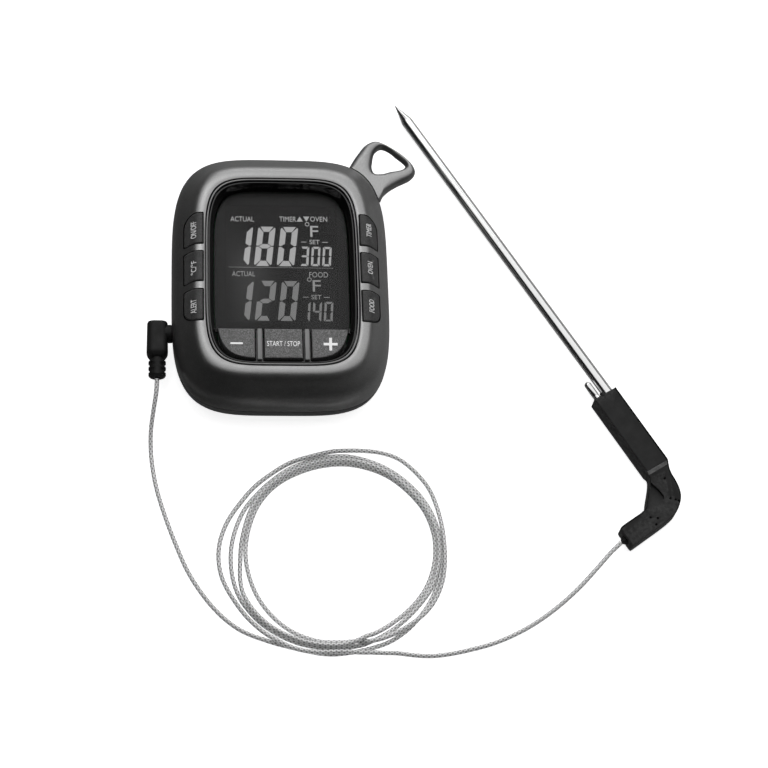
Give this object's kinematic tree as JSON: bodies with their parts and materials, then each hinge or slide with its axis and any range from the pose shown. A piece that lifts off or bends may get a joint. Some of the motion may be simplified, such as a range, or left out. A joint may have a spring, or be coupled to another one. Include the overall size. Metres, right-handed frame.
{
  "type": "meat thermometer",
  "caption": "Handheld digital food and oven thermometer with edge keys, hanging loop, plug-in braided steel lead and a steel needle probe with an elbow grip.",
  "frame": {"origin": "centre line of the display window projected onto the flat back face of the display unit, which lies on the table at z = 0", "axes": "+X to the right of the display, +Y towards the top of the display, +Z out of the display and up from the table"},
  "size_m": [0.1956, 0.2272, 0.0257],
  "materials": {
    "front_shell": "satin charcoal, fine moulded texture",
    "rear_shell": "matt dark grey",
    "battery_door": "matt dark grey",
    "trim_ring": "thin satin metal ring",
    "window_frame": "piano black",
    "display_lens": "clear smoked, polished",
    "lcd_glass": "dark negative display",
    "backlight_panel": "white diffuser",
    "zebra_strip": "matt",
    "key_bar_left": "satin light grey",
    "key_bar_right": "satin light grey",
    "key_minus": "fine speckled matt grey",
    "key_start_stop": "fine speckled matt grey",
    "key_plus": "fine speckled matt grey",
    "keymat_lower": "matt silicone",
    "key_power": "fine speckled matt grey",
    "key_units": "fine speckled matt grey",
    "key_alert": "fine speckled matt grey",
    "key_timer": "fine speckled matt grey",
    "key_oven": "fine speckled matt grey",
    "key_food": "fine speckled matt grey",
    "keymat_left": "matt silicone",
    "keymat_right": "matt silicone",
    "main_pcb": "green solder mask",
    "pcb_screw_1": "zinc plated",
    "pcb_screw_2": "zinc plated",
    "controller_chip": "black potting",
    "buzzer": "matt black",
    "jack_socket": "matt black",
    "battery_1": "plain printed sleeve",
    "battery_2": "plain printed sleeve",
    "battery_spring_1": "nickel plated",
    "battery_spring_2": "nickel plated",
    "battery_contact_1": "nickel plated",
    "battery_contact_2": "nickel plated",
    "case_screw_1": "zinc plated",
    "case_screw_2": "zinc plated",
    "case_screw_3": "zinc plated",
    "case_screw_4": "zinc plated",
    "hanging_loop": "satin charcoal",
    "jack_pin": "nickel and gold flash plated",
    "plug_body": "matt black moulding",
    "plug_strain_relief": "matt black moulding",
    "cable_plug_run": "stainless wire braid",
    "cable_probe_run": "stainless wire braid",
    "cable_coil": "stainless wire braid",
    "probe_needle": "polished stainless steel",
    "food_thermistor": "dark glass bead",
    "oven_sensor_tube": "polished stainless steel",
    "oven_thermistor": "dark glass bead",
    "probe_grip": "matt black heat resistant moulding",
    "cable_bush": "matt black"
  },
  "bodies": {
    "housing": {"front_shell": "front_shell", "rear_shell": "rear_shell", "trim_ring": "trim_ring", "window_frame": "window_frame", "display_lens": "display_lens", "lcd_glass": "lcd_glass", "backlight_panel": "backlight_panel", "zebra_strip": "zebra_strip", "key_bar_left": "key_bar_left", "key_bar_right": "key_bar_right", "keymat_lower": "keymat_lower", "keymat_left": "keymat_left", "keymat_right": "keymat_right", "main_pcb": "main_pcb", "pcb_screw_1": "pcb_screw_1", "pcb_screw_2": "pcb_screw_2", "controller_chip": "controller_chip", "buzzer": "buzzer", "jack_socket": "jack_socket", "battery_1": "battery_1", "battery_2": "battery_2", "battery_spring_1": "battery_spring_1", "battery_spring_2": "battery_spring_2", "battery_contact_1": "battery_contact_1", "battery_contact_2": "battery_contact_2", "case_screw_1": "case_screw_1", "case_screw_2": "case_screw_2", "case_screw_3": "case_screw_3", "case_screw_4": "case_screw_4", "hanging_loop": "hanging_loop"},
    "key_minus": {"key_minus": "key_minus"},
    "key_start_stop": {"key_start_stop": "key_start_stop"},
    "key_plus": {"key_plus": "key_plus"},
    "key_power": {"key_power": "key_power"},
    "key_units": {"key_units": "key_units"},
    "key_alert": {"key_alert": "key_alert"},
    "key_timer": {"key_timer": "key_timer"},
    "key_oven": {"key_oven": "key_oven"},
    "key_food": {"key_food": "key_food"},
    "battery_door": {"battery_door": "battery_door"},
    "probe_lead": {"cable_plug_run": "cable_plug_run", "cable_coil": "cable_coil", "cable_probe_run": "cable_probe_run", "probe_needle": "probe_needle", "food_thermistor": "food_thermistor", "oven_sensor_tube": "oven_sensor_tube", "oven_thermistor": "oven_thermistor", "probe_grip": "probe_grip", "cable_bush": "cable_bush"},
    "jack_plug": {"jack_pin": "jack_pin", "plug_body": "plug_body", "plug_strain_relief": "plug_strain_relief"}
  },
  "joints": [
    {"name": "key_minus_press", "type": "slide", "parent": "housing", "child": "key_minus", "axis": [0, 0, -1], "range_m": [0, 0.001], "stiffness_N_per_m": 800, "springref_m": -0.0003},
    {"name": "key_start_stop_press", "type": "slide", "parent": "housing", "child": "key_start_stop", "axis": [0, 0, -1], "range_m": [0, 0.001], "stiffness_N_per_m": 800, "springref_m": -0.0003},
    {"name": "key_plus_press", "type": "slide", "parent": "housing", "child": "key_plus", "axis": [0, 0, -1], "range_m": [0, 0.001], "stiffness_N_per_m": 800, "springref_m": -0.0003},
    {"name": "key_power_press", "type": "slide", "parent": "housing", "child": "key_power", "axis": [0, 0, -1], "range_m": [0, 0.001], "stiffness_N_per_m": 800, "springref_m": -0.0003},
    {"name": "key_units_press", "type": "slide", "parent": "housing", "child": "key_units", "axis": [0, 0, -1], "range_m": [0, 0.001], "stiffness_N_per_m": 800, "springref_m": -0.0003},
    {"name": "key_alert_press", "type": "slide", "parent": "housing", "child": "key_alert", "axis": [0, 0, -1], "range_m": [0, 0.001], "stiffness_N_per_m": 800, "springref_m": -0.0003},
    {"name": "key_timer_press", "type": "slide", "parent": "housing", "child": "key_timer", "axis": [0, 0, -1], "range_m": [0, 0.001], "stiffness_N_per_m": 800, "springref_m": -0.0003},
    {"name": "key_oven_press", "type": "slide", "parent": "housing", "child": "key_oven", "axis": [0, 0, -1], "range_m": [0, 0.001], "stiffness_N_per_m": 800, "springref_m": -0.0003},
    {"name": "key_food_press", "type": "slide", "parent": "housing", "child": "key_food", "axis": [0, 0, -1], "range_m": [0, 0.001], "stiffness_N_per_m": 800, "springref_m": -0.0003},
    {"name": "battery_door_slide", "type": "slide", "parent": "housing", "child": "battery_door", "axis": [0, -1, 0], "range_m": [0, 0.008]},
    {"name": "jack_pull", "type": "slide", "parent": "housing", "child": "probe_lead", "axis": [-1, 0, 0], "range_m": [0, 0.013]},
    {"name": "jack_turn", "type": "hinge", "parent": "probe_lead", "child": "jack_plug", "pos_m": [-0.0394, -0.0188, 0.009], "axis": [-1, 0, 0], "range_deg": [0, 50]}
  ]
}
